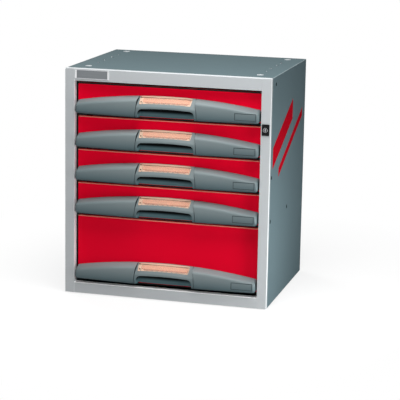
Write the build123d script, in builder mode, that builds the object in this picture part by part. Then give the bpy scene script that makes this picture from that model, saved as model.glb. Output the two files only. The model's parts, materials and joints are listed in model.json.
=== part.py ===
from build123d import *
from math import cos, radians, sin, tan
import os

# Five-drawer tool cabinet in millimetres. X runs to the right, Y to the back and Z up.
# The origin is on the floor, at the middle of the overall box.

# Case
CASE_WIDTH = 620
CASE_DEPTH = 480  # front face of the frame to the back
GLIDE_HEIGHT = 3
SHEET = 1.5
FRAME_DEPTH = 20
STILE_WIDTH = 28.5
TOP_RAIL_HEIGHT = 35.5
BOTTOM_RAIL_HEIGHT = 32.5
SEAM = 0.8  # open line between the frame and the casing panels
TONGUE_REACH = 14  # how far a panel's joggled edge goes in under the frame
RETURN_WIDTH = 18

# Drawer fronts
MODULE = 100  # height of a single drawer front with its gap
MODULE_COUNTS = (1, 1, 1, 1, 2)  # modules in each drawer's height, from the top down
TOP_GAP = 7  # between the top rail and the first front
FRONT_GAP = 4  # below each front
BOTTOM_GAP = 2  # between the bottom rail and the gap below the last front
FRONT_SIDE_GAP = 4
FRONT_RECESS = 22  # front face of the frame to the face of a drawer front
FRONT_THICKNESS = 15
FRONT_BEND = 2.5

# Handles
HANDLE_SIDE_GAP = 3.5  # inside the frame's opening
HANDLE_PROUD = 10  # in front of the frame
HANDLE_BASE = 9  # underside in the middle, above the gap below its drawer front
HANDLE_DIP = 3  # how much higher the underside is at the ends
HANDLE_END_HEIGHT = 48  # top edge at the ends, above that gap
HANDLE_RISE = 24.5  # how much higher the top edge is in the middle
HANDLE_LEDGE = 8
WING_TOP_SLOPE = 0.43
GRIP_TOP_SLOPE = 1.3
HANDLE_DRAFT = 2.2  # degrees
HANDLE_CORNER = 9.5
HANDLE_NOSE = 8
HANDLE_CREASE = 10
HANDLE_WALL = 3
SEAM_HALF = 84.5  # from the middle to the seam, at the top edge
SEAM_LEAN = 8.5  # how much further out the seam's foot stands
SEAM_GAP = 0.8
GRIP_SIDE = 8  # mouth's ends inside the seams' feet
GRIP_HEIGHT = 38
GRIP_ARCH = 3.5
GRIP_CORNER = 14
FIELD_LENGTH = 62  # bare sunk field on the right wing
FIELD_END_GAP = 10
FIELD_HEIGHTS = (20, 39)
FIELD_DEPTH = 0.8

# Label
LABEL_SIDE = 8.5  # inside the seam
LABEL_TAPER = 3.5
LABEL_FRONT_GAP = 8  # behind the handle's front
LABEL_THICKNESS = 1.8
LABEL_SINK = 1.6  # depth of its pocket in the grip
LABEL_RIM = 3
LABEL_WINDOW = 0.8
CARD_THICKNESS = 0.5
CARD_PLAY = 0.2

# Drawer trays and runners
TRAY_SIDE_ROOM = 48  # inside the casing's outer face
TRAY_BACK_ROOM = 30
TRAY_SHEET = 1.2
TRAY_FLOOR = 8  # above the gap below the drawer front
TRAY_HEADROOM = 12
RUNNER_THICKNESS = 13.5
RUNNER_HEIGHT = 35
RUNNER_SHEET = 1.2
RUNNER_PLAY = 0.4
RUNNER_START = 52  # behind the frame's face
RUNNER_BACK_ROOM = 28
RUNNER_BASE = 14
POST_WIDTH = 35
POST_SETBACK = 60
POST_LIP = 10

# Lock
LOCK_DROP = 5  # below the gap under the top drawer front
LOCK_PLATE = (22, 33, 2.5)
LOCK_BARREL = 18
LOCK_BARREL_LENGTH = 24
PLUG_DIAMETER = 12
PLUG_CAP = (15, 1.2)
PLUG_PLAY = 0.1
KEYWAY = (2.2, 8, 0.8)
CAM_THICKNESS = 3
CAM_GAP = 0.4
CAM_PIN = 6
CRANK = 8
PIN_PLAY = 0.5
CRANK_START = 45  # degrees above level with the lock open
BAR_THICKNESS = 2
BAR_WIDTH = 22
BAR_SETBACK = 45
BAR_PLAY = 0.3
BAR_STOCK = 12  # bar length past the first and the last lug
LUG_REACH = 7.5
LUG_HEIGHT = 10
CATCH_BASE = 57
CATCH_REACH = 18.5
CATCH_FOOT = 18
GUIDE_HEIGHT = 20
GUIDE_WALL = 2.2

# Small fittings
BADGE = (104.5, 26.5, 1.5)
BADGE_MARGIN = 2.5
BADGE_RIM = 1.6
BADGE_SINK = 0.5
GLIDE_DIAMETER = 18
GLIDE_INSET = 16
PLUG_BUTTON = (20, 1.2)
PLUG_HOLE = 14
PLUG_STEM = 5
PLUG_INSET = 49.3
PLUG_FRONT_ROW = 67.7
PLUG_BACK_ROW = 43.5
SCREW_HEAD = (6, 1.4)
SCREW_SHANK = (4, 7)
SCREW_INSET = 50.3
SCREW_ROWS = (149, 210, 289, 350)
SIDE_HOLE = 6
SIDE_HOLES = ((29, 291), (29, 421), (250, 421), (61, 23))  # behind the face, below the top

# Levels that follow from the sizes above
DRAWER_HEIGHTS = [MODULE * count for count in MODULE_COUNTS]
CASE_HEIGHT = TOP_RAIL_HEIGHT + TOP_GAP + sum(DRAWER_HEIGHTS) + BOTTOM_GAP + BOTTOM_RAIL_HEIGHT
FACE = -(CASE_DEPTH + HANDLE_PROUD) / 2 + HANDLE_PROUD
BACK = FACE + CASE_DEPTH
FLOOR = GLIDE_HEIGHT
TOP = GLIDE_HEIGHT + CASE_HEIGHT
HALF = CASE_WIDTH / 2
OPENING_HALF = HALF - STILE_WIDTH
OPENING_TOP = TOP - TOP_RAIL_HEIGHT
PANEL_START = FACE + FRAME_DEPTH + SEAM
TONGUE_START = FACE + FRAME_DEPTH - TONGUE_REACH
FRONT_FACE = FACE + FRONT_RECESS
FRONT_HALF = OPENING_HALF - FRONT_SIDE_GAP
TRAY_FRONT = FRONT_FACE + FRONT_THICKNESS
TRAY_BACK = BACK - TRAY_BACK_ROOM
TRAY_HALF_WIDTH = HALF - TRAY_SIDE_ROOM
RUNNER_FRONT = FACE + RUNNER_START
RUNNER_BACK = BACK - RUNNER_BACK_ROOM
POST_INNER = TRAY_HALF_WIDTH + RUNNER_THICKNESS
LOCK_X = HALF - STILE_WIDTH / 2
DRAWER_TOP = OPENING_TOP - TOP_GAP
DRAWER_LEVELS = [DRAWER_TOP - sum(DRAWER_HEIGHTS[: n + 1]) for n in range(len(DRAWER_HEIGHTS))]
LOCK_Z = DRAWER_LEVELS[0] - LOCK_DROP
BAR_RIGHT = LOCK_X + CRANK + CAM_PIN / 2
BAR_LEFT = BAR_RIGHT - BAR_WIDTH
BAR_FRONT = FACE + BAR_SETBACK
BAR_TRAVEL = 2 * CRANK * sin(radians(CRANK_START))
CATCH_FRONT = BAR_FRONT + BAR_THICKNESS + PIN_PLAY
HANDLE_HALF_LENGTH = OPENING_HALF - HANDLE_SIDE_GAP
HANDLE_LEAN = tan(radians(HANDLE_DRAFT)) * (HANDLE_BASE + HANDLE_NOSE)  # draft below the nose
GRIP_HALF_WIDTH = SEAM_HALF + SEAM_LEAN - GRIP_SIDE
LABEL_TOP_HALF = SEAM_HALF - LABEL_SIDE
LABEL_BOTTOM_HALF = LABEL_TOP_HALF - LABEL_TAPER
LABEL_LENGTH = FRONT_RECESS + HANDLE_PROUD - HANDLE_LEDGE - LABEL_FRONT_GAP
POST_FRONT = FACE + POST_SETBACK
POST_ROWS = (POST_FRONT, BACK - POST_SETBACK - POST_WIDTH / 2)

MARGIN = 20  # how far cutting shapes run past what they cut
CUT_DEPTH = 4 * FRONT_RECESS

os.makedirs("parts", exist_ok=True)


def block(x, y, z, mode=Mode.ADD):
    """Add a box to the open part, given its lowest and highest X, Y and Z."""
    middle = tuple(sum(pair) / 2 for pair in (x, y, z))
    with Locations(middle):
        Box(x[1] - x[0], y[1] - y[0], z[1] - z[0], mode=mode)


def rod(centre, diameter, length, direction, mode=Mode.ADD):
    """Add a cylinder to the open part, from the centre of its first end."""
    with Locations(Plane(origin=centre, z_dir=direction)):
        Cylinder(diameter / 2, length, align=(Align.CENTER, Align.CENTER, Align.MIN), mode=mode)


def save(piece, label):
    """Label a finished piece and write it."""
    piece.label = label
    export_step(piece, f"parts/{label}.step")


# Frame: two full-height stiles, with a rail between them at the top and at the bottom
FRAME_BACK = FACE + FRAME_DEPTH

for side, sign in (("left", -1), ("right", 1)):
    outer = sorted((sign * OPENING_HALF, sign * HALF))
    inner = (outer[0] + SHEET, outer[1] - SHEET)
    with BuildPart() as stile:
        block(outer, (FACE, FRAME_BACK), (FLOOR, TOP))
        block(inner, (FACE + SHEET, FRAME_BACK), (FLOOR + SHEET, TOP - SHEET), Mode.SUBTRACT)
        fillet(stile.edges().filter_by(Axis.Z).group_by(Axis.Y)[0], SHEET / 2)
        if sign > 0:
            rod((LOCK_X, FACE, LOCK_Z), LOCK_BARREL, SHEET, (0, 1, 0), Mode.SUBTRACT)
    save(stile.part, f"frame_{side}_stile")

for name, low, high in (
    ("top", OPENING_TOP, TOP),
    ("bottom", FLOOR, FLOOR + BOTTOM_RAIL_HEIGHT),
):
    with BuildPart() as rail:
        block((-OPENING_HALF, OPENING_HALF), (FACE, FRAME_BACK), (low, high))
        block(
            (-OPENING_HALF, OPENING_HALF),
            (FACE + SHEET, FRAME_BACK),
            (low + SHEET, high - SHEET),
            Mode.SUBTRACT,
        )
        fillet(rail.edges().filter_by(Axis.X).group_by(Axis.Y)[0], SHEET / 2)
    save(rail.part, f"frame_{name}_rail")

# Side panels: sheet with returns at the top, bottom and back, and a joggled front edge
for side, sign in (("left", -1), ("right", 1)):
    web = sorted((sign * (HALF - SHEET), sign * HALF))
    folded = sorted((sign * (HALF - SHEET - RETURN_WIDTH), sign * (HALF - SHEET)))
    tongue = sorted((sign * (HALF - 2 * SHEET), sign * (HALF - SHEET)))
    step = sorted((sign * (HALF - 2 * SHEET), sign * HALF))
    with BuildPart() as side_panel:
        block(web, (PANEL_START, BACK), (FLOOR, TOP - SHEET))
        block(folded, (PANEL_START + 2 * SHEET, BACK - SHEET), (TOP - 2 * SHEET, TOP - SHEET))
        block(folded, (PANEL_START + 2 * SHEET, BACK - SHEET), (FLOOR, FLOOR + SHEET))
        block(folded, (BACK - 2 * SHEET, BACK - SHEET), (FLOOR + 2 * SHEET, TOP - 2 * SHEET))
        block(tongue, (TONGUE_START, PANEL_START), (FLOOR + 2 * SHEET, TOP - 2 * SHEET))
        block(step, (PANEL_START, PANEL_START + SHEET), (FLOOR + 2 * SHEET, TOP - 2 * SHEET))
        for depth, drop in SIDE_HOLES:
            start = (sign * (HALF - 2 * SHEET), FACE + depth, TOP - drop)
            rod(start, SIDE_HOLE, 2 * SHEET, (sign, 0, 0), Mode.SUBTRACT)
    save(side_panel.part, f"{side}_side_panel")

# Top panel: sheet with a joggled front edge, holes for the plugs and for the screws
PLUG_ROWS = (FACE + PLUG_FRONT_ROW, BACK - PLUG_BACK_ROW)
PLUG_SPOTS = [(x, y) for x in (PLUG_INSET - HALF, HALF - PLUG_INSET) for y in PLUG_ROWS]
SCREW_SPOTS = [(x, FACE + y) for x in (SCREW_INSET - HALF, HALF - SCREW_INSET) for y in SCREW_ROWS]
TONGUE_HALF = OPENING_HALF - SHEET

with BuildPart() as top_panel:
    block((-HALF, HALF), (PANEL_START, BACK), (TOP - SHEET, TOP))
    block((-TONGUE_HALF, TONGUE_HALF), (TONGUE_START, PANEL_START + SHEET), (TOP - 2 * SHEET, TOP - SHEET))
    for x, y in PLUG_SPOTS:
        rod((x, y, TOP - SHEET), PLUG_HOLE, SHEET, (0, 0, 1), Mode.SUBTRACT)
    for x, y in SCREW_SPOTS:
        rod((x, y, TOP - SHEET), SCREW_SHANK[0], SHEET, (0, 0, 1), Mode.SUBTRACT)
save(top_panel.part, "top_panel")

# Base panel: sheet on the side panels' returns, with its front edge on the bottom rail
GLIDE_X = HALF - GLIDE_INSET
GLIDE_ROWS = (FACE + GLIDE_INSET + FRAME_DEPTH, BACK - GLIDE_INSET)

with BuildPart() as base_panel:
    block((SHEET - HALF, HALF - SHEET), (PANEL_START + SHEET, BACK), (FLOOR + SHEET, FLOOR + 2 * SHEET))
    block(
        (-TONGUE_HALF, TONGUE_HALF),
        (TONGUE_START, PANEL_START + SHEET),
        (FLOOR + SHEET, FLOOR + 2 * SHEET),
    )
save(base_panel.part, "base_panel")

with BuildPart() as back_panel:
    block((SHEET - HALF, HALF - SHEET), (BACK - SHEET, BACK), (FLOOR + 2 * SHEET, TOP - SHEET))
save(back_panel.part, "back_panel")

# Posts: channels that carry the runners, between the base panel and the side panels' top returns
with BuildPart() as posts:
    for sign in (-1, 1):
        for row in POST_ROWS:
            across = sorted((sign * POST_INNER, sign * (HALF - SHEET)))
            hollow = sorted((sign * (POST_INNER + SHEET), sign * (HALF - 2 * SHEET)))
            mouth = sorted((sign * (HALF - 2 * SHEET), sign * (HALF - SHEET)))
            height = (FLOOR + 2 * SHEET, TOP - 2 * SHEET)
            block(across, (row, row + POST_WIDTH), height)
            block(hollow, (row + SHEET, row + POST_WIDTH - SHEET), height, Mode.SUBTRACT)
            block(mouth, (row + POST_LIP, row + POST_WIDTH - POST_LIP), height, Mode.SUBTRACT)
save(posts.part, "runner_posts")

# Glides: a low foot under each corner
with BuildPart() as glides:
    for x in (-GLIDE_X, GLIDE_X):
        for y in GLIDE_ROWS:
            rod((x, y, 0), GLIDE_DIAMETER, GLIDE_HEIGHT, (0, 0, 1))
    fillet(glides.edges().group_by(Axis.Z)[0], GLIDE_HEIGHT / 3)
save(glides.part, "base_glides")

# Badge plate: bare plate with a raised rim, on the top rail
BADGE_LEFT = BADGE_MARGIN - OPENING_HALF
BADGE_LOW = TOP - BADGE_MARGIN - BADGE[1]

with BuildPart() as badge:
    plate_x = (BADGE_LEFT, BADGE_LEFT + BADGE[0])
    plate_z = (BADGE_LOW, BADGE_LOW + BADGE[1])
    block(plate_x, (FACE - BADGE[2], FACE), plate_z)
    fillet(badge.edges().filter_by(Axis.Y), BADGE_RIM)
    block(
        (plate_x[0] + BADGE_RIM, plate_x[1] - BADGE_RIM),
        (FACE - BADGE[2], FACE - BADGE[2] + BADGE_SINK),
        (plate_z[0] + BADGE_RIM, plate_z[1] - BADGE_RIM),
        Mode.SUBTRACT,
    )
save(badge.part, "badge_plate")

# Plugs in the holes of the top panel
with BuildPart() as plugs:
    for x, y in PLUG_SPOTS:
        rod((x, y, TOP), PLUG_BUTTON[0], PLUG_BUTTON[1], (0, 0, 1))
    fillet(plugs.edges().group_by(Axis.Z)[-1], PLUG_BUTTON[1] / 2)
    for x, y in PLUG_SPOTS:
        rod((x, y, TOP), PLUG_HOLE - 2 * PLUG_PLAY, PLUG_STEM, (0, 0, -1))
save(plugs.part, "top_plugs")

with BuildPart() as screws:
    for x, y in SCREW_SPOTS:
        rod((x, y, TOP), SCREW_HEAD[0], SCREW_HEAD[1], (0, 0, 1))
    fillet(screws.edges().group_by(Axis.Z)[-1], SCREW_HEAD[1] / 2)
    for x, y in SCREW_SPOTS:
        rod((x, y, TOP), SCREW_SHANK[0] - 2 * PLUG_PLAY, SCREW_SHANK[1], (0, 0, -1))
save(screws.part, "top_screws")


# Handle: arched top edge, dipped underside and a sloping top face, which is steeper on the grip than on the wings
def arch_height(x, inset):
    """Height of the handle's top edge at X, above the gap below its drawer front."""
    peak = HANDLE_END_HEIGHT + HANDLE_RISE - inset
    radius = (HANDLE_HALF_LENGTH**2 + HANDLE_RISE**2) / (2 * HANDLE_RISE)
    return peak - radius + (radius**2 - x**2) ** 0.5


def handle_form(half, slope, inset=0.0, rounded=True):
    """A handle's outline as a solid at level zero, drawn in by the inset on all but its back."""
    front = FACE - HANDLE_PROUD - HANDLE_LEAN + inset
    reach = half + MARGIN
    spots = (-reach, 0, reach)
    with BuildPart() as form:
        with BuildSketch():
            with BuildLine():
                side = half - inset
                Polyline((-side, TRAY_FRONT), (-side, front), (side, front), (side, TRAY_FRONT), close=True)
            make_face()
            fillet(vertices().group_by(Axis.Y)[0], HANDLE_CORNER - inset)
        extrude(amount=HANDLE_END_HEIGHT + HANDLE_RISE, taper=HANDLE_DRAFT)
        for lift, fall in ((0, 0), (HANDLE_LEDGE * slope, slope)):
            with BuildSketch(Plane.XZ.offset(-FRONT_FACE)):
                with BuildLine():
                    arch = ThreePointArc(*[(x, arch_height(x, inset) + lift) for x in spots])
                    dip = HANDLE_DIP / HANDLE_HALF_LENGTH**2
                    keel = ThreePointArc(*[(x, HANDLE_BASE + inset + dip * x**2) for x in spots])
                    Line(arch @ 0, keel @ 0)
                    Line(arch @ 1, keel @ 1)
                make_face()
            extrude(amount=CUT_DEPTH, dir=(0, -1, -fall), mode=Mode.INTERSECT)
        if rounded:
            fillet([edge for edge in form.edges() if is_nose(edge)], HANDLE_NOSE)
            fillet([edge for edge in form.edges() if is_crease(edge)], HANDLE_CREASE)
    return form.part


def is_nose(edge):
    """True for the edges around a handle's underside, apart from the one at the drawer front."""
    middle = edge @ 0.5
    return middle.Z < HANDLE_BASE + 2 * HANDLE_DIP and middle.Y < FRONT_FACE - SHEET


def is_crease(edge):
    """True for the long edge between a handle's front and its sloping top face."""
    middle = edge @ 0.5
    return edge.length > SEAM_HALF and middle.Z > GRIP_HEIGHT and middle.Y < FACE


def seam_points(clear):
    """Three points of the right seam's curve, from the bottom up, moved outwards by a clearance."""
    peak = HANDLE_END_HEIGHT + HANDLE_RISE
    heights = (-MARGIN, peak / 2, peak + MARGIN)
    return [(SEAM_HALF + SEAM_LEAN * (1 - (z / peak) ** 2) + clear, z) for z in heights]


ZONE_HEIGHT = (-MARGIN, HANDLE_END_HEIGHT + HANDLE_RISE + MARGIN)
FAR = HANDLE_HALF_LENGTH + MARGIN
GRIP_REACH = SEAM_HALF + SEAM_LEAN + MARGIN

# Wings of the handle: shells that are open to the drawer front
with BuildPart() as wing_core:
    add(handle_form(HANDLE_HALF_LENGTH, WING_TOP_SLOPE, HANDLE_WALL, rounded=False))
    with BuildSketch(Plane.XZ.offset(-TRAY_FRONT)):
        with BuildLine():
            seam = ThreePointArc(*seam_points(SEAM_GAP / 2 + HANDLE_WALL))
            Polyline(seam @ 1, (FAR, (seam @ 1).Y), (FAR, (seam @ 0).Y), seam @ 0)
        make_face()
        mirror(about=Plane.YZ)
    extrude(amount=CUT_DEPTH, mode=Mode.INTERSECT)

with BuildPart() as plate_field:
    field_end = HANDLE_HALF_LENGTH - FIELD_END_GAP
    block((field_end - FIELD_LENGTH, field_end), (FACE - HANDLE_PROUD, FRONT_FACE), FIELD_HEIGHTS)
    add(handle_form(HANDLE_HALF_LENGTH, WING_TOP_SLOPE, FIELD_DEPTH, rounded=False), mode=Mode.SUBTRACT)

with BuildPart() as wing_form:
    add(handle_form(HANDLE_HALF_LENGTH, WING_TOP_SLOPE))
    with BuildSketch(Plane.XZ.offset(-TRAY_FRONT)):
        with BuildLine():
            seam = ThreePointArc(*seam_points(SEAM_GAP / 2))
            Polyline(seam @ 1, (FAR, (seam @ 1).Y), (FAR, (seam @ 0).Y), seam @ 0)
        make_face()
        mirror(about=Plane.YZ)
    extrude(amount=CUT_DEPTH, mode=Mode.INTERSECT)
    add(wing_core.part, mode=Mode.SUBTRACT)
    add(plate_field.part, mode=Mode.SUBTRACT)

# Grip of the handle: shell with a back wall, an arched mouth in front and an open underside
with BuildPart() as grip_core:
    add(handle_form(GRIP_REACH, GRIP_TOP_SLOPE, HANDLE_WALL, rounded=False))
    mouth_x = (-GRIP_HALF_WIDTH, GRIP_HALF_WIDTH)
    block(mouth_x, (FACE - 2 * HANDLE_PROUD, FRONT_FACE - HANDLE_WALL), ZONE_HEIGHT, Mode.INTERSECT)
    under_y = (FACE - HANDLE_PROUD + HANDLE_NOSE, FRONT_FACE - HANDLE_WALL)
    block(mouth_x, under_y, (0, HANDLE_BASE + HANDLE_WALL))

with BuildPart() as grip_mouth:
    with BuildSketch(Plane.XZ.offset(-(FRONT_FACE - HANDLE_WALL))):
        with BuildLine():
            edge_height = GRIP_HEIGHT - GRIP_ARCH
            mouth_top = ThreePointArc(
                (-GRIP_HALF_WIDTH, edge_height), (0, GRIP_HEIGHT), (GRIP_HALF_WIDTH, edge_height)
            )
            Polyline(mouth_top @ 1, (GRIP_HALF_WIDTH, 0), (-GRIP_HALF_WIDTH, 0), mouth_top @ 0)
        make_face()
        fillet(vertices().group_by(Axis.Y)[-1], GRIP_CORNER)
    extrude(amount=CUT_DEPTH)

# Label: a paper card under a clear window, sunk into the sloping top face of the grip
def label_slab(low, high, shrink):
    """A slab between two heights square to the sloping face, tapered in front view."""
    back = FRONT_FACE - HANDLE_LEDGE - shrink
    length = LABEL_LENGTH - 2 * shrink
    slant = (1 + GRIP_TOP_SLOPE**2) ** 0.5
    sink = shrink * GRIP_TOP_SLOPE
    spots = (-LABEL_TOP_HALF, 0, LABEL_TOP_HALF)
    with BuildPart() as slab:
        with BuildSketch(Plane.XZ.offset(-back)):
            with BuildLine():
                lower = ThreePointArc(*[(x, arch_height(x, sink - low * slant)) for x in spots])
                upper = ThreePointArc(*[(x, arch_height(x, sink - high * slant)) for x in spots])
                Line(lower @ 0, upper @ 0)
                Line(lower @ 1, upper @ 1)
            make_face()
        extrude(amount=length * slant, dir=(0, -1, -GRIP_TOP_SLOPE))
        with BuildSketch(Plane.XY):
            with BuildLine():
                wide = LABEL_TOP_HALF - shrink
                narrow = LABEL_BOTTOM_HALF - shrink
                front = back - length
                Polyline((-wide, back), (wide, back), (narrow, front), (-narrow, front), close=True)
            make_face()
            fillet(vertices(), LABEL_RIM - shrink / 2)
        extrude(amount=2 * MODULE, mode=Mode.INTERSECT)
    return slab.part


with BuildPart() as grip_form:
    add(handle_form(GRIP_REACH, GRIP_TOP_SLOPE))
    with BuildSketch(Plane.XZ.offset(-TRAY_FRONT)):
        with BuildLine():
            right_points = seam_points(-SEAM_GAP / 2)
            right_seam = ThreePointArc(*right_points)
            left_seam = ThreePointArc(*[(-x, z) for x, z in right_points])
            Line(right_seam @ 0, left_seam @ 0)
            Line(right_seam @ 1, left_seam @ 1)
        make_face()
    extrude(amount=CUT_DEPTH, mode=Mode.INTERSECT)
    add(grip_core.part, mode=Mode.SUBTRACT)
    add(grip_mouth.part, mode=Mode.SUBTRACT)
    add(label_slab(-LABEL_SINK, LABEL_THICKNESS, 0), mode=Mode.SUBTRACT)


with BuildPart() as holder_form:
    label_top = LABEL_THICKNESS - LABEL_SINK
    add(label_slab(-LABEL_SINK, label_top, 0))
    add(label_slab(label_top - LABEL_WINDOW, label_top, LABEL_RIM), mode=Mode.SUBTRACT)
    card_top = CARD_THICKNESS + CARD_PLAY - LABEL_SINK
    add(label_slab(-LABEL_SINK, card_top, LABEL_RIM - CARD_PLAY), mode=Mode.SUBTRACT)

card_form = label_slab(CARD_PLAY / 2 - LABEL_SINK, card_top - CARD_PLAY / 2, LABEL_RIM)


# Runner members: nested channels, drawn for the right side and mirrored for the left
def channel(level, inner, outer, half_height, web_inside):
    """Add a channel on each side, open away from its web, at the level of a runner's middle."""
    height = (level - half_height, level + half_height)
    gap = (level - half_height + RUNNER_SHEET, level + half_height - RUNNER_SHEET)
    along = (RUNNER_FRONT, RUNNER_BACK)
    hollow = (inner + RUNNER_SHEET, outer) if web_inside else (inner, outer - RUNNER_SHEET)
    for sign in (-1, 1):
        block(sorted((sign * inner, sign * outer)), along, height)
        block(sorted(sign * x for x in hollow), along, gap, Mode.SUBTRACT)


MEMBER_STEP = RUNNER_SHEET + RUNNER_PLAY
MIDDLE_HALF = RUNNER_HEIGHT / 2 - MEMBER_STEP
INNER_HALF = MIDDLE_HALF - MEMBER_STEP
MIDDLE_LEVEL = RUNNER_BASE + RUNNER_HEIGHT / 2

with BuildPart() as cabinet_runners:
    for level in DRAWER_LEVELS:
        inner = TRAY_HALF_WIDTH + 2 * MEMBER_STEP
        channel(level + MIDDLE_LEVEL, inner, POST_INNER, RUNNER_HEIGHT / 2, False)
save(cabinet_runners.part, "cabinet_runners")

# Drawers, numbered from the top
for number, level in enumerate(DRAWER_LEVELS, start=1):
    height = DRAWER_HEIGHTS[number - 1]
    low = level + FRONT_GAP
    high = level + height

    # Red front: a sheet folded back on all four sides
    with BuildPart() as front:
        block((-FRONT_HALF, FRONT_HALF), (FRONT_FACE, TRAY_FRONT), (low, high))
        fillet(front.edges().group_by(Axis.Y)[0], FRONT_BEND)
        block(
            (SHEET - FRONT_HALF, FRONT_HALF - SHEET),
            (FRONT_FACE + SHEET, TRAY_FRONT),
            (low + SHEET, high - SHEET),
            Mode.SUBTRACT,
        )
    save(front.part, f"drawer_{number}_front")

    # Tray: floor and three walls on a front plate that fits inside the folds of the front. On its right wall is
    # the catch, a bracket that the locked bar's lug stands in front of.
    tray_low = level + TRAY_FLOOR
    inside = TRAY_HALF_WIDTH - TRAY_SHEET
    depth = (TRAY_FRONT, TRAY_BACK)
    walls = (tray_low + TRAY_SHEET, high - TRAY_HEADROOM)
    catch_foot = TRAY_HALF_WIDTH + SHEET
    catch_z = (level + CATCH_BASE, level + CATCH_BASE + LUG_HEIGHT)
    plates = (
        (
            (SHEET - FRONT_HALF, FRONT_HALF - SHEET),
            (TRAY_FRONT - TRAY_SHEET, TRAY_FRONT),
            (low + SHEET, high - SHEET),
        ),
        ((-TRAY_HALF_WIDTH, TRAY_HALF_WIDTH), depth, (tray_low, walls[0])),
        ((-TRAY_HALF_WIDTH, -inside), depth, walls),
        ((inside, TRAY_HALF_WIDTH), depth, walls),
        ((-inside, inside), (TRAY_BACK - TRAY_SHEET, TRAY_BACK), walls),
        ((TRAY_HALF_WIDTH, catch_foot), (CATCH_FRONT, CATCH_FRONT + CATCH_FOOT), catch_z),
        ((catch_foot, TRAY_HALF_WIDTH + CATCH_REACH), (CATCH_FRONT, CATCH_FRONT + BAR_THICKNESS), catch_z),
    )
    solids = []
    for spans in plates:
        with BuildPart() as plate:
            block(*spans)
        solids.append(plate.part.solid())
    save(Compound(children=solids), f"drawer_{number}_tray")

    for piece, form in (
        ("handle_grip", grip_form.part),
        ("handle_wings", wing_form.part),
        ("label_holder", holder_form.part),
        ("label_card", card_form),
    ):
        with BuildPart() as fitting:
            with Locations((0, 0, level)):
                add(form)
        save(fitting.part, f"drawer_{number}_{piece}")

    with BuildPart() as inner_members:
        outer = POST_INNER - 2 * MEMBER_STEP
        channel(level + MIDDLE_LEVEL, TRAY_HALF_WIDTH, outer, INNER_HALF, True)
    save(inner_members.part, f"drawer_{number}_inner_runners")

    with BuildPart() as middle_members:
        inner = TRAY_HALF_WIDTH + MEMBER_STEP
        channel(level + MIDDLE_LEVEL, inner, POST_INNER - MEMBER_STEP, MIDDLE_HALF, False)
    save(middle_members.part, f"drawer_{number}_middle_runners")

# Lock escutcheon: plate on the right stile with a barrel through it
with BuildPart() as escutcheon:
    plate_width, plate_height, plate_thickness = LOCK_PLATE
    block(
        (LOCK_X - plate_width / 2, LOCK_X + plate_width / 2),
        (FACE - plate_thickness, FACE),
        (LOCK_Z - plate_height / 2, LOCK_Z + plate_height / 2),
    )
    fillet(escutcheon.edges().filter_by(Axis.Y), BADGE_RIM)
    chamfer(escutcheon.faces().sort_by(Axis.Y)[0].edges(), BADGE_SINK)
    barrel = LOCK_BARREL - 2 * PLUG_PLAY
    rod((LOCK_X, FACE, LOCK_Z), barrel, LOCK_BARREL_LENGTH, (0, 1, 0))
    bore_length = LOCK_BARREL_LENGTH + plate_thickness
    bore = PLUG_DIAMETER + 2 * PLUG_PLAY
    rod((LOCK_X, FACE - plate_thickness, LOCK_Z), bore, bore_length, (0, 1, 0), Mode.SUBTRACT)
save(escutcheon.part, "lock_escutcheon")

# Lock cylinder: turning plug with a cap and a keyway
PLUG_FRONT = FACE - LOCK_PLATE[2] - PLUG_PLAY
PLUG_BACK = FACE + LOCK_BARREL_LENGTH + CAM_GAP

with BuildPart() as cylinder:
    rod((LOCK_X, PLUG_FRONT, LOCK_Z), PLUG_CAP[0], PLUG_CAP[1], (0, -1, 0))
    fillet(cylinder.edges().group_by(Axis.Y)[0], PLUG_CAP[1] / 2)
    rod((LOCK_X, PLUG_FRONT, LOCK_Z), PLUG_DIAMETER, PLUG_BACK - PLUG_FRONT, (0, 1, 0))
    slot_width, slot_height, slot_depth = KEYWAY
    slot_front = PLUG_FRONT - PLUG_CAP[1]
    block(
        (LOCK_X - slot_width / 2, LOCK_X + slot_width / 2),
        (slot_front, slot_front + slot_depth),
        (LOCK_Z - slot_height / 2, LOCK_Z + slot_height / 2),
        Mode.SUBTRACT,
    )
save(cylinder.part, "lock_cylinder")

# Lock cam: crank plate behind the cylinder, whose pin moves the lock bar
pin_x = LOCK_X + CRANK * cos(radians(CRANK_START))
pin_z = LOCK_Z + CRANK * sin(radians(CRANK_START))
pin_length = BAR_FRONT + BAR_THICKNESS + PIN_PLAY - PLUG_BACK

with BuildPart() as cam:
    with BuildSketch(Plane.XZ.offset(-PLUG_BACK)):
        with Locations((LOCK_X, LOCK_Z)):
            Circle(PLUG_DIAMETER / 2)
        with Locations((pin_x, pin_z)):
            Circle(CAM_PIN / 2)
        make_hull()
    extrude(amount=-CAM_THICKNESS)
    rod((pin_x, PLUG_BACK, pin_z), CAM_PIN, pin_length, (0, 1, 0))
save(cam.part, "lock_cam")

# Lock bar: flat bar with an open slot for the pin and a welded lug above each drawer's catch
CATCHES = [level + CATCH_BASE for level in DRAWER_LEVELS]
BAR_DEPTH = (BAR_FRONT, BAR_FRONT + BAR_THICKNESS)
BAR_LOW = CATCHES[-1] - BAR_STOCK
BAR_HIGH = CATCHES[0] + LUG_HEIGHT + BAR_TRAVEL + BAR_STOCK
SLOT_HALF = CAM_PIN / 2 + PIN_PLAY
SLOT_START = pin_x - CAM_PIN / 2 - PIN_PLAY

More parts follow.
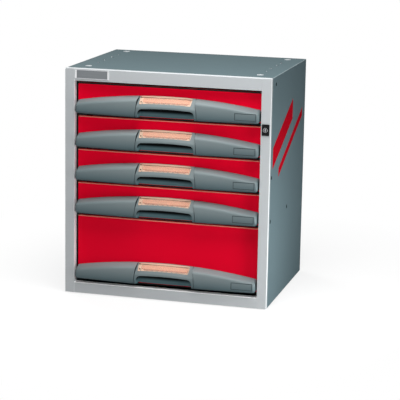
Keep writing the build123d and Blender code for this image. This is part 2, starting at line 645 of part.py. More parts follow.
with BuildPart() as lock_bar:
    block((BAR_LEFT, BAR_RIGHT), BAR_DEPTH, (BAR_LOW, BAR_HIGH))
    block((SLOT_START, BAR_RIGHT), BAR_DEPTH, (pin_z - SLOT_HALF, pin_z + SLOT_HALF), Mode.SUBTRACT)
lugs = []
for catch in CATCHES:
    with BuildPart() as lug:
        lug_low = catch + BAR_TRAVEL
        block((BAR_LEFT - LUG_REACH, BAR_LEFT), BAR_DEPTH, (lug_low, lug_low + LUG_HEIGHT))
    lugs.append(lug.part.solid())
save(Compound(children=[lock_bar.part.solid(), *lugs]), "lock_bar")

# Guides: blocks between the front post and the side panel that hold the bar upright
GUIDE_LEVELS = [level + TRAY_FLOOR for level in (DRAWER_LEVELS[0], DRAWER_LEVELS[2], DRAWER_LEVELS[-1])]

with BuildPart() as guides:
    for guide_low in GUIDE_LEVELS:
        height = (guide_low, guide_low + GUIDE_HEIGHT)
        sleeve = (BAR_LEFT - BAR_PLAY, BAR_RIGHT + BAR_PLAY)
        around = (BAR_DEPTH[0] - BAR_PLAY, BAR_DEPTH[1] + BAR_PLAY)
        block((sleeve[0] - GUIDE_WALL, HALF - SHEET), (around[0] - GUIDE_WALL, POST_FRONT), height)
        block(sleeve, around, height, Mode.SUBTRACT)
save(guides.part, "lock_bar_guides")
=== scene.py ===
import json
from functools import partial
from math import pi, radians

import bmesh
import bpy
from mathutils import Matrix, Vector

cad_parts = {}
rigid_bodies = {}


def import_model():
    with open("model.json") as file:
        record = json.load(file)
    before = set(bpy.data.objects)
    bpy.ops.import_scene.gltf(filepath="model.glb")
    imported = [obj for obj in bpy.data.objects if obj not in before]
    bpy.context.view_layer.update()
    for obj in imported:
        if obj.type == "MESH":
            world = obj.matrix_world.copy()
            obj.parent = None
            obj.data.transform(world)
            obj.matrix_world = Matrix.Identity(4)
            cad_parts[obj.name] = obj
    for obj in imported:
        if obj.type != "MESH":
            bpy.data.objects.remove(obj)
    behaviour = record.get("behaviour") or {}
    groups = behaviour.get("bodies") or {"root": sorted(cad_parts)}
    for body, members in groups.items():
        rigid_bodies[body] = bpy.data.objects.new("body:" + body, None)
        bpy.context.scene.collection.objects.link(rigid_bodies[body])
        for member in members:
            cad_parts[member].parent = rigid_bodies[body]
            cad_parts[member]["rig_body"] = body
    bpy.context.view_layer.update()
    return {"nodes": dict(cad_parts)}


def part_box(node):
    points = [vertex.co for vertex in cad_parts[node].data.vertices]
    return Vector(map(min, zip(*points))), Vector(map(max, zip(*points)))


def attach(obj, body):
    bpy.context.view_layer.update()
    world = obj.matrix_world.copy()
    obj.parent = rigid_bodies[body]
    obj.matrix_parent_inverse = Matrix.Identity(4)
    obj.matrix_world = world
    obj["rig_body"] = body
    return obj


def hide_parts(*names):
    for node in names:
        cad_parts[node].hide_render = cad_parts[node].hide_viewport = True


# Looks of a five-drawer tool cabinet: light grey frame, blue-grey casing, red drawer fronts, grey handles.
# All sizes are in metres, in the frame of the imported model.
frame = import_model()

MM = 0.001
DRAWERS = range(1, 6)

# Places taken from the CAD
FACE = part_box("frame_right_stile")[0].y
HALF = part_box("frame_right_stile")[1].x
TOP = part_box("top_panel")[1].z
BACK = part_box("top_panel")[1].y
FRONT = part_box("drawer_1_front")[0].y

# Camera, from a perspective fit to the casing's corners
CAMERA_PLACE = (1.32262, -4.74972, 1.32642)
CAMERA_AZIMUTH = radians(15.087)
CAMERA_ELEVATION = radians(12.207)
CAMERA_ROLL = radians(0.991)
CAMERA_RANGE = 100.0
LENS = 148.033
SENSOR = 36.0

# Studio
FLOOR_REACH = 30.0
FLOOR_WHITE = (0.95, 0.95, 0.95, 1.0)
FLOOR_BOUNCE = (0.5, 0.5, 0.5, 1.0)
SHADOW_CORE = 0.385  # how far from the middle the floor keeps the cabinet's shadow in full
SHADOW_REACH = 1.1  # how far from the middle the kept shadow fades out
SHADOW_SHARE = 0.24
WORLD_LEVEL = 0.12
LAMPS = {  # place, point that it faces, width, power in watts
    "front_box": ((0.3, -2.3, 1.2), (0, 0, 0.4), 0.9, 12.5),
    "top_box": ((0.3, -0.72, 2.0), (0, -0.15, 0.55), 1.0, 36.0),
    "side_box": ((1.8, -0.9, 0.15), (0.3, -0.15, 0.2), 0.6, 8.0),
    "edge_box": ((0.8, -0.34, 0.16), (0.31, -0.2, 0.25), 0.3, 3.4),
    "back_box": ((-1.9, 1.6, 0.9), (0, 0.2, 0.35), 1.2, 50.0),
}

# Mesh work
WELD = 0.002 * MM
FLAT = radians(0.05)
SHARP = radians(32)
FOLD_EDGE = 0.35 * MM  # rounding of cut sheet edges
MOULD_EDGE = 0.5 * MM  # rounding of moulded edges
FINE_EDGE = 0.1 * MM  # rounding of the smallest pieces and of thin plates
PLUG_EDGE = 0.2 * MM
SCREW_EDGE = 0.15 * MM
SHADE_STRIP_EDGE = 0.4 * MM
LABEL_END_EDGE = 0.3 * MM
RING_EDGE = 0.08 * MM
STEP_WALL = 0.3  # slant of a sunk field's wall, as a share of its depth

# Textures: features per metre, and depths of their relief
CLOUDS = 3.5
SHEEN = 9.0
PEEL = 520.0
PEEL_DEPTH = 0.03 * MM
FLOW = 14.0
GRAIN = 1500.0
GRAIN_DEPTH = 0.05 * MM
STREAKS = 60.0
STREAK_DEPTH = 0.015 * MM
BLOOM = 25.0
BRUSH = 220.0
BRUSH_DEPTH = 0.01 * MM
FIBRES = 900.0
FIBRE_DEPTH = 0.008 * MM
FIBRE_SHARE = 0.6  # how far the fibres turn a card's colour into its shade
HAZE = 30.0
WINDOW_COVER = (0.14, 0.24)  # least and most that the clear windows cover

# Stretches of a texture: it runs long where the number is small
EVEN = (1, 1, 1)
FLOWING = (0.4, 1.0, 1.6)
ROLLED = (3.0, 0.25, 3.0)
BRUSHED_ACROSS = (0.05, 1, 1)
FIBROUS = (0.5, 1.0, 1.0)

# Frame: painted highlights on its folds and on the joint of the left stile with the rails
FOLD = 0.7 * MM
FOLD_REACH = 9 * MM  # a stile's side has the casing's colour from this far behind the face
RAIL_FOLD = (33.8 * MM, 36.4 * MM)  # heights of the bottom rail's upper fold
RAIL_END = 281 * MM  # from the middle to the end of a rail
STILE_JOINT = (-282.3 * MM, -281.1 * MM)

# Top panel: painted shade along its left and back folds, and a painted highlight along the right one
LEFT_FOLD = 3 * MM
BACK_FOLD = 6 * MM
RIGHT_FOLD = 1.8 * MM

# Side panels: two slanted bands on each, and a ring of painted shade around each hole
STRIPE_SLOPE = 0.42
STRIPES = (  # behind the face from and to, foot, height
    (40 * MM, 300 * MM, 395 * MM, 62 * MM),
    (120 * MM, 440 * MM, 325 * MM, 26 * MM),
)
SIDE_HOLES = (  # behind the face, below the top
    (29 * MM, 291 * MM),
    (29 * MM, 421 * MM),
    (250 * MM, 421 * MM),
    (61 * MM, 23 * MM),
)
HOLE_SHADE_RADIUS = 6 * MM  # radius of the ring of painted shade around a hole

# Drawers: the fronts stand at one step, so a height over the drawer's level repeats
LEVEL = 37.5 * MM
DRAWER_STEP = 100 * MM
FRONT_HEAD = 97.4 * MM  # from here up, a front's folded edge gets a pale painted highlight
LOWEST_HEAD = 200 * MM  # the top edge of the deep front stands above this
HEAD_REACH = 2.5 * MM  # how far the painted highlight reaches behind a front's face
LOW_FRONT_SHADE_HEIGHTS = (200 * MM, 350 * MM)  # between these heights the fronts' red darkens towards the floor, as painted shade
LOW_FRONT_SHADE_SHARE = 0.24  # how much of its light the red loses to the painted shade at the lower height

# Handles
HANDLE_HEIGHT = 72.5 * MM
HANDLE_PAINTED_SHADE_HEIGHTS = (12 * MM, 62 * MM)  # a handle's plastic turns from painted shade at the foot to its own colour between these heights
FIELD = ((206 * MM, 268 * MM), (20 * MM, 39 * MM))  # sunk bare field on a right wing: along, up
FIELD_LINE = 0.9 * MM
SEAM_FOOT = 93 * MM  # from the middle to the seam between grip and wing, at the drawer's level
SEAM_LEAN = 8.5 * MM  # how much further in the seam stands at the top of the handle
SEAM_LINE = 0.8 * MM
GRIP_CHEEK = 4 * MM  # width at each end of a grip that isn't given the painted shade of the hollow
HOLLOW_SHADE_HEIGHTS = (18 * MM, 26 * MM)  # where the painted shade in a grip's hollow turns from its paler foot to its dark top
SHADE_STRIP_HEIGHTS = (6 * MM, 3.4 * MM)  # black strips of painted shade: heights under the wings and under the grip
SHADE_STRIP_SPLIT = 86 * MM
SHADE_STRIP_DEPTH = 1.2 * MM
TOP_SHADE_STRIP_HEIGHT = 4 * MM  # black strip of painted shade along the top edge of the top front

# Labels
CARD_FOOT_SHADE = (51 * MM, 56 * MM)  # painted shade along the foot of a label card
RIM_SHADOW_LINE = (66.4 * MM, 68.4 * MM)  # painted shadow line along the foot of the label's top rim
WINDOW_LAP = 0.6 * MM  # how far the rim covers the card
LABEL_PROUD = 0.2 * MM
LABEL_END = (77.5 * MM, 8 * MM, 27 * MM, 1 * MM)  # left of the label's middle, width, height, thickness
LABEL_END_DROP = 1.2 * MM  # fall of the label's arch at its end
PIN_SPOTS = ((-1 * MM, 9.5 * MM), (1 * MM, -6.5 * MM))  # along and up from the middle of the end piece
PIN = (2.3 * MM, 0.6 * MM)  # radius and height
PIN_TAPER = 0.8  # radius at a pin's head, as a share of the one at its foot
PIN_RISE = 0.3  # how far a pin's middle stands over the end piece, as a share of the pin's height
PIN_SIDES = 20

# Lock, badge and plugs
LOCK_RING = (5.6 * MM, 0.7 * MM)  # inner radius and width of the bright ring around the keyway
RING_PROFILE = (  # place across the width as a share of it, depth behind the lock's face
    (0, 0.05 * MM),
    (0, -0.3 * MM),
    (0.5, -0.45 * MM),
    (1, -0.3 * MM),
    (1, 0.05 * MM),
)
RING_STEPS = 32
KEYWAY = (1.5 * MM, 0.5 * MM, 3.4 * MM)  # half width, thickness, half height
KEY_SLOT = (0.9 * MM, 0.35 * MM)  # rim left around the slot, and its depth
BADGE_END = 5 * MM  # width of the bright field at each end of the badge
PLUG_DISH = (2.5 * MM, 0.3 * MM)  # rim left around a plug's dish, and its depth


class Value:
    """A number or colour on a surface. Arithmetic with it adds Math nodes to its tree."""

    def __init__(self, nodes, socket):
        self.nodes = nodes
        self.socket = socket

    def __add__(self, other):
        return self.nodes.math("ADD", self, other)

    def __sub__(self, other):
        return self.nodes.math("SUBTRACT", self, other)

    def __rsub__(self, other):
        return self.nodes.math("SUBTRACT", other, self)

    def __mul__(self, other):
        return self.nodes.math("MULTIPLY", self, other)

    def __mod__(self, other):
        return self.nodes.math("FLOORED_MODULO", self, other)

    def __abs__(self):
        return self.nodes.math("ABSOLUTE", self)

    def __gt__(self, other):
        return self.nodes.math("GREATER_THAN", self, other)

    def __lt__(self, other):
        return self.nodes.math("LESS_THAN", self, other)

    __radd__ = __add__
    __rmul__ = __mul__

    def between(self, low, high):
        """1 from a low to a high bound, and 0 outside."""
        return (self > low) * (self < high)


class Nodes:
    """The shader nodes of a material or of the surroundings."""

    def __init__(self, tree):
        self.tree = tree

    def fill(self, socket, value):
        """Link a value to a socket, or set the socket to a constant."""
        if isinstance(value, Value):
            self.tree.links.new(value.socket, socket)
        else:
            socket.default_value = value

    def add(self, kind, settings, inputs, output=0):
        """Add a node: its settings first, then the values or links of its sockets. Gives one output."""
        node = self.tree.nodes.new(kind)
        for setting, value in settings.items():
            setattr(node, setting, value)
        for socket, value in inputs.items():
            self.fill(node.inputs[socket], value)
        return Value(self, node.outputs[output])

    def math(self, operation, *values):
        """The outcome of a Math operation."""
        return self.add("ShaderNodeMath", {"operation": operation}, dict(enumerate(values)))

    def seen_by(self, *kinds):
        """1 for rays of the named kinds, and 0 for all other rays."""
        share = 0.0
        for kind in kinds:
            share = self.math("MAXIMUM", share, self.add("ShaderNodeLightPath", {}, {}, f"Is {kind} Ray"))
        return share


class Finish(Nodes):
    """A procedural material with its Principled shader."""

    def __init__(self, name, constants):
        self.material = bpy.data.materials.new(name)
        self.material.use_nodes = True
        super().__init__(self.material.node_tree)
        self.shader = self.tree.nodes["Principled BSDF"]
        self.place = self.add("ShaderNodeTexCoord", {}, {}, "Object")
        for socket, value in constants.items():
            self.feed(socket, value)

    def feed(self, socket, value):
        """Give a socket of the shader its value."""
        self.fill(self.shader.inputs[socket], value)

    def axis(self, name):
        """One coordinate of the place on the object, in metres."""
        return self.add("ShaderNodeSeparateXYZ", {}, {0: self.place}, name)

    def height_in_drawer(self):
        """Height over the level of the drawer, in metres."""
        return (self.axis("Z") - LEVEL) % DRAWER_STEP

    def noise(self, scale, detail=2.0, stretch=EVEN):
        """Noise from 0 to 1, in features per metre."""
        spread = self.add("ShaderNodeVectorMath", {"operation": "MULTIPLY"}, {0: self.place, 1: stretch})
        return self.add("ShaderNodeTexNoise", {}, {"Vector": spread, "Scale": scale, "Detail": detail})

    def rise(self, value, low, high):
        """0 up to a low bound, 1 from a high bound on, and an even slope from one to the other."""
        return self.add("ShaderNodeMapRange", {}, {"Value": value, "From Min": low, "From Max": high})

    def blend(self, share, first, second):
        """Mix two colours by a share."""
        return self.add("ShaderNodeMix", {"data_type": "RGBA"}, {0: share, 6: first, 7: second}, 2)

    def colour(self, value):
        """Make a value the base colour."""
        self.base = value
        self.feed("Base Color", value)

    def lay(self, share, colour):
        """Lay a colour over the base colour, by a share."""
        self.colour(self.blend(share, self.base, colour))

    def roughen(self, mean, *parts):
        """Vary the roughness about a mean, by noises that each have a spread."""
        level = mean - sum(spread for noise, spread in parts) / 2
        for noise, spread in parts:
            level = noise * spread + level
        self.feed("Roughness", level)

    def relief(self, height, depth):
        """Bump the surface by a height from 0 to 1 that stands for a depth in metres."""
        self.feed("Normal", self.add("ShaderNodeBump", {}, {"Height": height, "Distance": depth}))


def paint(red, green, blue):
    """A colour written as screen values from 0 to 255, turned into light by the screens' standard curve."""
    levels = [value / 255 for value in (red, green, blue)]
    return (*[v / 12.92 if v <= 0.04045 else ((v + 0.055) / 1.055) ** 2.4 for v in levels], 1.0)


# Finishes
def powder_coat(name, colour, shade, roughness=0.42, gloss=0.3):
    """Satin powder coat with a fine orange peel and a faint cloudiness."""
    finish = Finish(name, {"Specular IOR Level": gloss})
    finish.colour(finish.blend(finish.noise(CLOUDS, detail=3.0), colour, shade))
    finish.roughen(roughness, (finish.noise(SHEEN, detail=4.0), 0.12))
    finish.relief(finish.noise(PEEL, detail=3.0), PEEL_DEPTH)
    return finish


def frame_coat(name, colour, shade, painted_highlight, bright, casing):
    """Powder coat with painted highlights on the folds and on the left stile's joint, and behind the folds as
    the casing is.
    """
    finish = powder_coat(name, colour, shade)
    across = finish.axis("X")
    height = finish.axis("Z")
    side = abs(across) > HALF - FOLD
    folds = side + (height > TOP - FOLD) + across.between(*STILE_JOINT)
    # Painted highlights: the side and top flanges and the left stile's joint are paler
    finish.lay(finish.math("MINIMUM", folds, 1.0), painted_highlight)
    # Painted highlight: the bottom rail's upper fold is near white
    finish.lay(height.between(*RAIL_FOLD) * (abs(across) < RAIL_END), bright)
    finish.lay(side * (finish.axis("Y") > FACE + FOLD_REACH), casing)
    return finish


def front_coat(name, colour, shade, painted_highlight):
    """Powder coat with painted shade that darkens the low fronts, and a pale painted highlight along the top
    fold of each front.
    """
    finish = powder_coat(name, colour, shade, roughness=0.4, gloss=0.05)
    height = finish.axis("Z")
    # Painted shade: the red darkens towards the floor on the low fronts
    shaded_low_red = finish.blend(LOW_FRONT_SHADE_SHARE, finish.base, BLACK)
    finish.colour(finish.blend(finish.rise(height, *LOW_FRONT_SHADE_HEIGHTS), shaded_low_red, finish.base))
    # Painted highlight along the top fold of each front
    edge = (finish.height_in_drawer() > FRONT_HEAD) * (height > LOWEST_HEAD)
    finish.lay(edge * (finish.axis("Y") < FRONT + HEAD_REACH), painted_highlight)
    return finish


def top_coat(name, colour, shade, dark, pale):
    """Powder coat with painted shade along the left and the back fold, and a painted highlight along the
    right one.
    """
    finish = powder_coat(name, colour, shade, roughness=0.5, gloss=0.08)
    across = finish.axis("X")
    edge = finish.math("MAXIMUM", across < LEFT_FOLD - HALF, finish.axis("Y") > BACK - BACK_FOLD)
    # Painted shade along the left and back folds
    finish.lay(edge, dark)
    # Painted highlight along the right fold
    finish.lay(across > HALF - RIGHT_FOLD, pale)
    return finish


def striped_coat(name, colour, shade, stripe, hole_shade):
    """Powder coat with two slanted bands that run up towards the back, and with a ring of painted shade
    around each hole.
    """
    finish = powder_coat(name, colour, shade, roughness=0.5, gloss=0.0)
    depth = finish.axis("Y") - FACE
    height = finish.axis("Z")
    # Painted shade: a dark ring around each hole
    for behind, below in SIDE_HOLES:
        along = finish.math("POWER", depth - behind, 2.0)
        up = finish.math("POWER", height - (TOP - below), 2.0)
        finish.lay(along + up < HOLE_SHADE_RADIUS**2, hole_shade)
    level = height - depth * STRIPE_SLOPE
    for start, end, foot, tall in STRIPES:
        finish.lay(level.between(foot, foot + tall) * depth.between(start, end), stripe)
    return finish


def moulding(name, colour, shade, roughness=0.5, gloss=0.35):
    """Grained plastic: a fine eroded texture over flow marks."""
    finish = Finish(name, {"Specular IOR Level": gloss})
    flow = finish.noise(FLOW, detail=3.0, stretch=FLOWING)
    grain = finish.noise(GRAIN)
    finish.colour(finish.blend(flow, colour, shade))
    finish.roughen(roughness, (grain, 0.12), (flow, 0.08))
    finish.relief(grain, GRAIN_DEPTH)
    return finish


def handle_moulding(name, colour, shade, foot, line):
    """Grained plastic with painted shade that darkens it towards the foot, with dark seams and a fine line
    around the sunk field.
    """
    finish = moulding(name, colour, shade)
    across = finish.axis("X")
    height = finish.height_in_drawer()
    # Painted shade: darker towards the foot of the handle
    finish.colour(finish.blend(finish.rise(height, *HANDLE_PAINTED_SHADE_HEIGHTS), foot, finish.base))
    outside = []
    for place, (start, end) in zip((across, height), FIELD):
        outside.append(abs(place - (start + end) / 2) - (end - start) / 2)
    border = abs(finish.math("MAXIMUM", *outside)) < FIELD_LINE
    lean = height * height * (SEAM_LEAN / HANDLE_HEIGHT**2)
    seam = abs(abs(across) + lean - SEAM_FOOT) < SEAM_LINE
    finish.lay(finish.math("MAXIMUM", border, seam), line)
    return finish


def lined_moulding(name, colour, shade, line):
    """Smooth plastic with a painted shadow line along the foot of a label's top rim."""
    finish = moulding(name, colour, shade, roughness=0.35)
    finish.lay(finish.height_in_drawer().between(*RIM_SHADOW_LINE), line)
    return finish


def hollow_moulding(name, foot, head):
    """Grained plastic in a grip's hollow: a darker copy of the handle's plastic as painted shade, darkening
    further towards the top of the hollow.
    """
    finish = moulding(name, foot, foot, roughness=0.6, gloss=0.05)
    finish.lay(finish.rise(finish.height_in_drawer(), *HOLLOW_SHADE_HEIGHTS), head)
    return finish


def plated_steel(name, colour, shade):
    """Zinc-plated sheet with a rolling direction along the depth."""
    finish = Finish(name, {"Metallic": 1.0})
    streaks = finish.noise(STREAKS, detail=3.0, stretch=ROLLED)
    bloom = finish.noise(BLOOM)
    finish.colour(finish.blend(bloom, colour, shade))
    finish.roughen(0.36, (streaks, 0.18), (bloom, 0.1))
    finish.relief(streaks, STREAK_DEPTH)
    return finish


def brushed_plate(name, colour, shade, stretch=EVEN, metal=0.85):
    """Brushed metal, whose lines run the way that its texture is stretched."""
    finish = Finish(name, {"Metallic": metal})
    lines = finish.noise(BRUSH, detail=4.0, stretch=stretch)
    finish.colour(finish.blend(lines, colour, shade))
    finish.roughen(0.38, (lines, 0.2))
    finish.relief(lines, BRUSH_DEPTH)
    return finish


def badge_plate(name, colour, shade, ends):
    """Brushed plate with a bright field at each end."""
    finish = brushed_plate(name, colour, shade, stretch=BRUSHED_ACROSS)
    low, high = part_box("badge_plate")
    away = abs(finish.axis("X") - (low.x + high.x) / 2)
    finish.lay(away > (high.x - low.x) / 2 - BADGE_END, ends)
    return finish


def paper(name, colour, shade, foot):
    """Uncoated paper with fibres, with painted shade along its foot."""
    finish = Finish(name, {"Roughness": 0.8, "Specular IOR Level": 0.2})
    fibres = finish.noise(FIBRES, detail=4.0, stretch=FIBROUS)
    finish.colour(finish.blend(fibres * FIBRE_SHARE, colour, shade))
    finish.lay(finish.height_in_drawer().between(*CARD_FOOT_SHADE), foot)
    finish.relief(fibres, FIBRE_DEPTH)
    return finish


def clear_window(name, colour, shade):
    """Clear moulded window: mostly see-through, with a soft haze."""
    finish = Finish(name, {"Specular IOR Level": 0.6, "Roughness": 0.16})
    haze = finish.noise(HAZE)
    least, most = WINDOW_COVER
    finish.colour(finish.blend(haze, colour, shade))
    finish.feed("Alpha", haze * (most - least) + least)
    return finish


BLACK = paint(0, 0, 0)
# The side panels' blue grey is the casing's, a little darker as painted shade
SHADED_SIDE_COLOUR = paint(92, 109, 114)
CASING_COLOUR = paint(96, 114, 118)
CASING_SHADE = paint(90, 107, 112)

frame_paint = frame_coat(
    "light_grey_powder_coat",
    colour=paint(182, 186, 188),
    shade=paint(175, 180, 183),
    # painted highlight on the folds and the joint
    painted_highlight=paint(212, 216, 218),
    # painted highlight on the bottom rail's fold
    bright=paint(252, 253, 253),
    casing=SHADED_SIDE_COLOUR,
)
casing_paint = powder_coat("blue_grey_powder_coat", CASING_COLOUR, CASING_SHADE, roughness=0.5, gloss=0.08)
side_paint = striped_coat(
    "blue_grey_coat_with_stripes",
    colour=SHADED_SIDE_COLOUR,
    shade=paint(87, 103, 108),
    stripe=paint(158, 12, 28),
    # painted shade around the holes
    hole_shade=paint(26, 36, 38),
)
top_paint = top_coat(
    "blue_grey_top_coat",
    colour=CASING_COLOUR,
    shade=CASING_SHADE,
    # painted shade along the left and back folds
    dark=paint(66, 83, 88),
    # painted highlight along the right fold
    pale=paint(136, 152, 156),
)
front_paint = front_coat(
    "red_powder_coat",
    colour=paint(255, 0, 47),
    shade=paint(247, 0, 43),
    # painted highlight along each front's top fold
    painted_highlight=paint(255, 158, 140),
)
tray_paint = powder_coat("tray_grey_powder_coat", paint(150, 155, 157), paint(142, 147, 150))
handle_plastic = handle_moulding(
    "grey_grained_moulding",
    colour=paint(131, 141, 142),
    shade=paint(123, 135, 137),
    # painted shade at the handle's foot
    foot=paint(56, 78, 84),
    line=paint(30, 43, 47),
)
# Painted shade inside the grips' hollows
grip_hollow_shade = hollow_moulding("grip_hollow_painted_shade", foot=paint(86, 114, 120), head=paint(4, 9, 11))
black_plastic = moulding("black_moulding", paint(14, 15, 16), paint(9, 10, 11), roughness=0.42, gloss=0.15)
plug_plastic = moulding("pale_moulding", paint(192, 198, 200), paint(184, 190, 193), roughness=0.4)
# Black strips that are painted shade under the handles and over the top front
shade_strip_black = moulding("black_shade_strip", paint(12, 13, 14), paint(8, 9, 10), roughness=0.8)
zinc = plated_steel("zinc_plate", paint(196, 200, 204), paint(176, 181, 186))
chrome = brushed_plate("satin_chrome", paint(226, 226, 228), paint(204, 205, 207))
lock_steel = brushed_plate("blackened_lock_steel", paint(44, 45, 48), paint(32, 33, 36))
badge_metal = badge_plate(
    "brushed_aluminium",
    colour=paint(142, 146, 149),
    shade=paint(126, 131, 135),
    ends=paint(244, 245, 246),
)
badge_edge = brushed_plate(
    "bright_aluminium_edge",
    colour=paint(222, 224, 226),
    shade=paint(206, 209, 212),
    stretch=BRUSHED_ACROSS,
    metal=0.2,
)
card_paper = paper(
    "peach_card",
    colour=paint(227, 165, 136),
    shade=paint(217, 152, 121),
    # painted shade along the card's foot
    foot=paint(158, 62, 26),
)
window = clear_window("clear_label_window", paint(255, 226, 204), paint(250, 214, 190))
label_rim = lined_moulding(
    "cream_label_rim",
    colour=paint(222, 188, 164),
    shade=paint(212, 178, 152),
    # painted shadow line under the top rim
    line=paint(128, 84, 60),
)


def shape_of(node):
    """A copy of a CAD node's mesh with its loose triangles merged."""
    form = bmesh.new()
    form.from_mesh(frame["nodes"][node].data)
    bmesh.ops.remove_doubles(form, verts=form.verts, dist=WELD)
    bmesh.ops.dissolve_limit(form, angle_limit=FLAT, verts=form.verts, edges=form.edges)
    return form


def add_mesh(form, name, finish):
    """Turn a finished bmesh into an object in one finish."""
    mesh = bpy.data.meshes.new(name)
    form.to_mesh(mesh)
    form.free()
    mesh.materials.append(finish.material)
    thing = bpy.data.objects.new(name, mesh)
    bpy.context.scene.collection.objects.link(thing)
    return thing


def place_piece(form, name, body, finish):
    """Turn a finished bmesh into a piece that rides on a body."""
    piece = add_mesh(form, name, finish)
    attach(piece, body)
    return piece


def span(form):
    """The lowest and the highest corner of a bmesh."""
    places = [corner.co for corner in form.verts]
    return (Vector(pick(place[axis] for place in places) for axis in range(3)) for pick in (min, max))


def foremost(form):
    """The largest face that looks to the front."""
    return max((face for face in form.faces if face.normal.y < -0.5), key=lambda face: face.calc_area())


def topmost(form):
    """The faces at the very top."""
    top = max(corner.co.z for corner in form.verts)
    return [face for face in form.faces if min(corner.co.z for corner in face.verts) > top - WELD]


def sink(form, faces, rim, drop, field_finish=0):
    """Leave a rim around each face and sink the field inside it, in one of the piece's finishes."""
    bmesh.ops.inset_individual(form, faces=faces, thickness=rim, use_even_offset=True)
    wall = drop * STEP_WALL
    bmesh.ops.inset_individual(form, faces=faces, thickness=wall, depth=-drop, use_even_offset=True)
    for face in faces:
        face.material_index = field_finish


def sink_plugs(form):
    """Dish the tops of the plugs."""
    sink(form, topmost(form), *PLUG_DISH)


def mark_hollow_shade(form):
    """Mark the faces that look in towards the middle of a grip's hollow, a third of the way up, for its
    painted shade.
    """
    low, high = span(form)
    middle = Vector((0, (low.y + high.y) / 2, (2 * low.z + high.z) / 3))
    for face in form.faces:
        centre = face.calc_center_median()
        if abs(centre.x) < high.x - GRIP_CHEEK and (middle - centre).dot(face.normal) > 0:
            face.material_index = 1


def edge_window(form, card):
    """Mark the solid rim around a label's window: all that lies outside of the card."""
    low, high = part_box(card)
    for face in form.faces:
        centre = face.calc_center_median()
        beside = abs(centre.x) > high.x - WINDOW_LAP
        if beside or not low.z + WINDOW_LAP < centre.z < high.z - WINDOW_LAP:
            face.material_index = 1


def edge_badge(form):
    """Mark the badge's raised rim."""
    front = min(corner.co.y for corner in form.verts)
    for face in form.faces:
        if max(corner.co.y for corner in face.verts) < front + WELD:
            face.material_index = 1


def soften(piece, edge):
    """Round a piece's sharp edges and shade its curves smoothly."""
    for face in piece.data.polygons:
        face.use_smooth = True
    bevel = piece.modifiers.new("edges", "BEVEL")
    bevel.width = edge
    bevel.segments = 2
    bevel.limit_method = "ANGLE"
    bevel.angle_limit = SHARP
    bevel.use_clamp_overlap = False
    bevel.harden_normals = True
    normals = piece.modifiers.new("normals", "WEIGHTED_NORMAL")
    normals.keep_sharp = True


def dress(node, ending, edge, finish, second=None, work=None):
    """Show a CAD node as a merged and worked copy with rounded edges, in one finish or in two."""
    form = shape_of(node)
    if work:
        work(form)
    piece = place_piece(form, f"{node}_{ending}", frame["nodes"][node]["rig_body"], finish)
    if second:
        piece.data.materials.append(second.material)
    soften(piece, edge)
    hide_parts(node)


def refinish(node, finish):
    """Give a CAD node that stays as it is a better material."""
    materials = frame["nodes"][node].data.materials
    materials.clear()
    materials.append(finish.material)


for node in ("frame_left_stile", "frame_right_stile", "frame_top_rail", "frame_bottom_rail"):
    dress(node, "painted", FOLD_EDGE, frame_paint)
for node in ("left_side_panel", "right_side_panel"):
    dress(node, "painted", FOLD_EDGE, side_paint)
for node in ("back_panel", "base_panel"):
    dress(node, "painted", FOLD_EDGE, casing_paint)
dress("top_panel", "painted", FOLD_EDGE, top_paint)
for node in ("cabinet_runners", "runner_posts", "lock_bar", "lock_cam"):
    refinish(node, zinc)
for node in ("base_glides", "lock_bar_guides"):
    refinish(node, black_plastic)
dress("badge_plate", "brushed", FINE_EDGE, badge_metal, badge_edge, edge_badge)
dress("lock_escutcheon", "moulded", FOLD_EDGE, black_plastic)
dress("lock_cylinder", "plated", FOLD_EDGE, lock_steel)
dress("top_plugs", "moulded", PLUG_EDGE, plug_plastic, work=sink_plugs)
dress("top_screws", "plated", SCREW_EDGE, zinc)

for number in DRAWERS:
    drawer = f"drawer_{number}"
    card = f"{drawer}_label_card"
    dress(f"{drawer}_front", "painted", FOLD_EDGE, front_paint)
    refinish(f"{drawer}_tray", tray_paint)
    dress(f"{drawer}_handle_grip", "moulded", MOULD_EDGE, handle_plastic, grip_hollow_shade, mark_hollow_shade)
    dress(f"{drawer}_handle_wings", "moulded", MOULD_EDGE, handle_plastic)
    dress(card, "printed", FINE_EDGE, card_paper)
    dress(f"{drawer}_label_holder", "clear", FINE_EDGE, window, label_rim, partial(edge_window, card=card))
    refinish(f"{drawer}_inner_runners", zinc)
    refinish(f"{drawer}_middle_runners", zinc)


# Small pieces of the scene alone
def turned(profile, centre, axis, steps):
    """A bmesh of a closed profile turned a full round about an axis."""
    form = bmesh.new()
    corners = [form.verts.new(place) for place in profile]
    sides = [form.edges.new((corner, corners[index - 1])) for index, corner in enumerate(corners)]
    bmesh.ops.spin(
        form,
        geom=corners + sides,
        cent=centre,
        axis=axis,
        dvec=(0, 0, 0),
        angle=2 * pi,
        steps=steps,
        use_merge=True,
    )
    bmesh.ops.remove_doubles(form, verts=form.verts, dist=WELD)
    bmesh.ops.recalc_face_normals(form, faces=form.faces)
    return form


def add_block(form, low, high):
    """Add a box between two corners to a bmesh, and give its corners."""
    corners = bmesh.ops.create_cube(form, size=1.0)["verts"]
    bmesh.ops.scale(form, vec=Vector(high) - Vector(low), verts=corners)
    bmesh.ops.translate(form, vec=(Vector(low) + Vector(high)) / 2, verts=corners)
    return corners


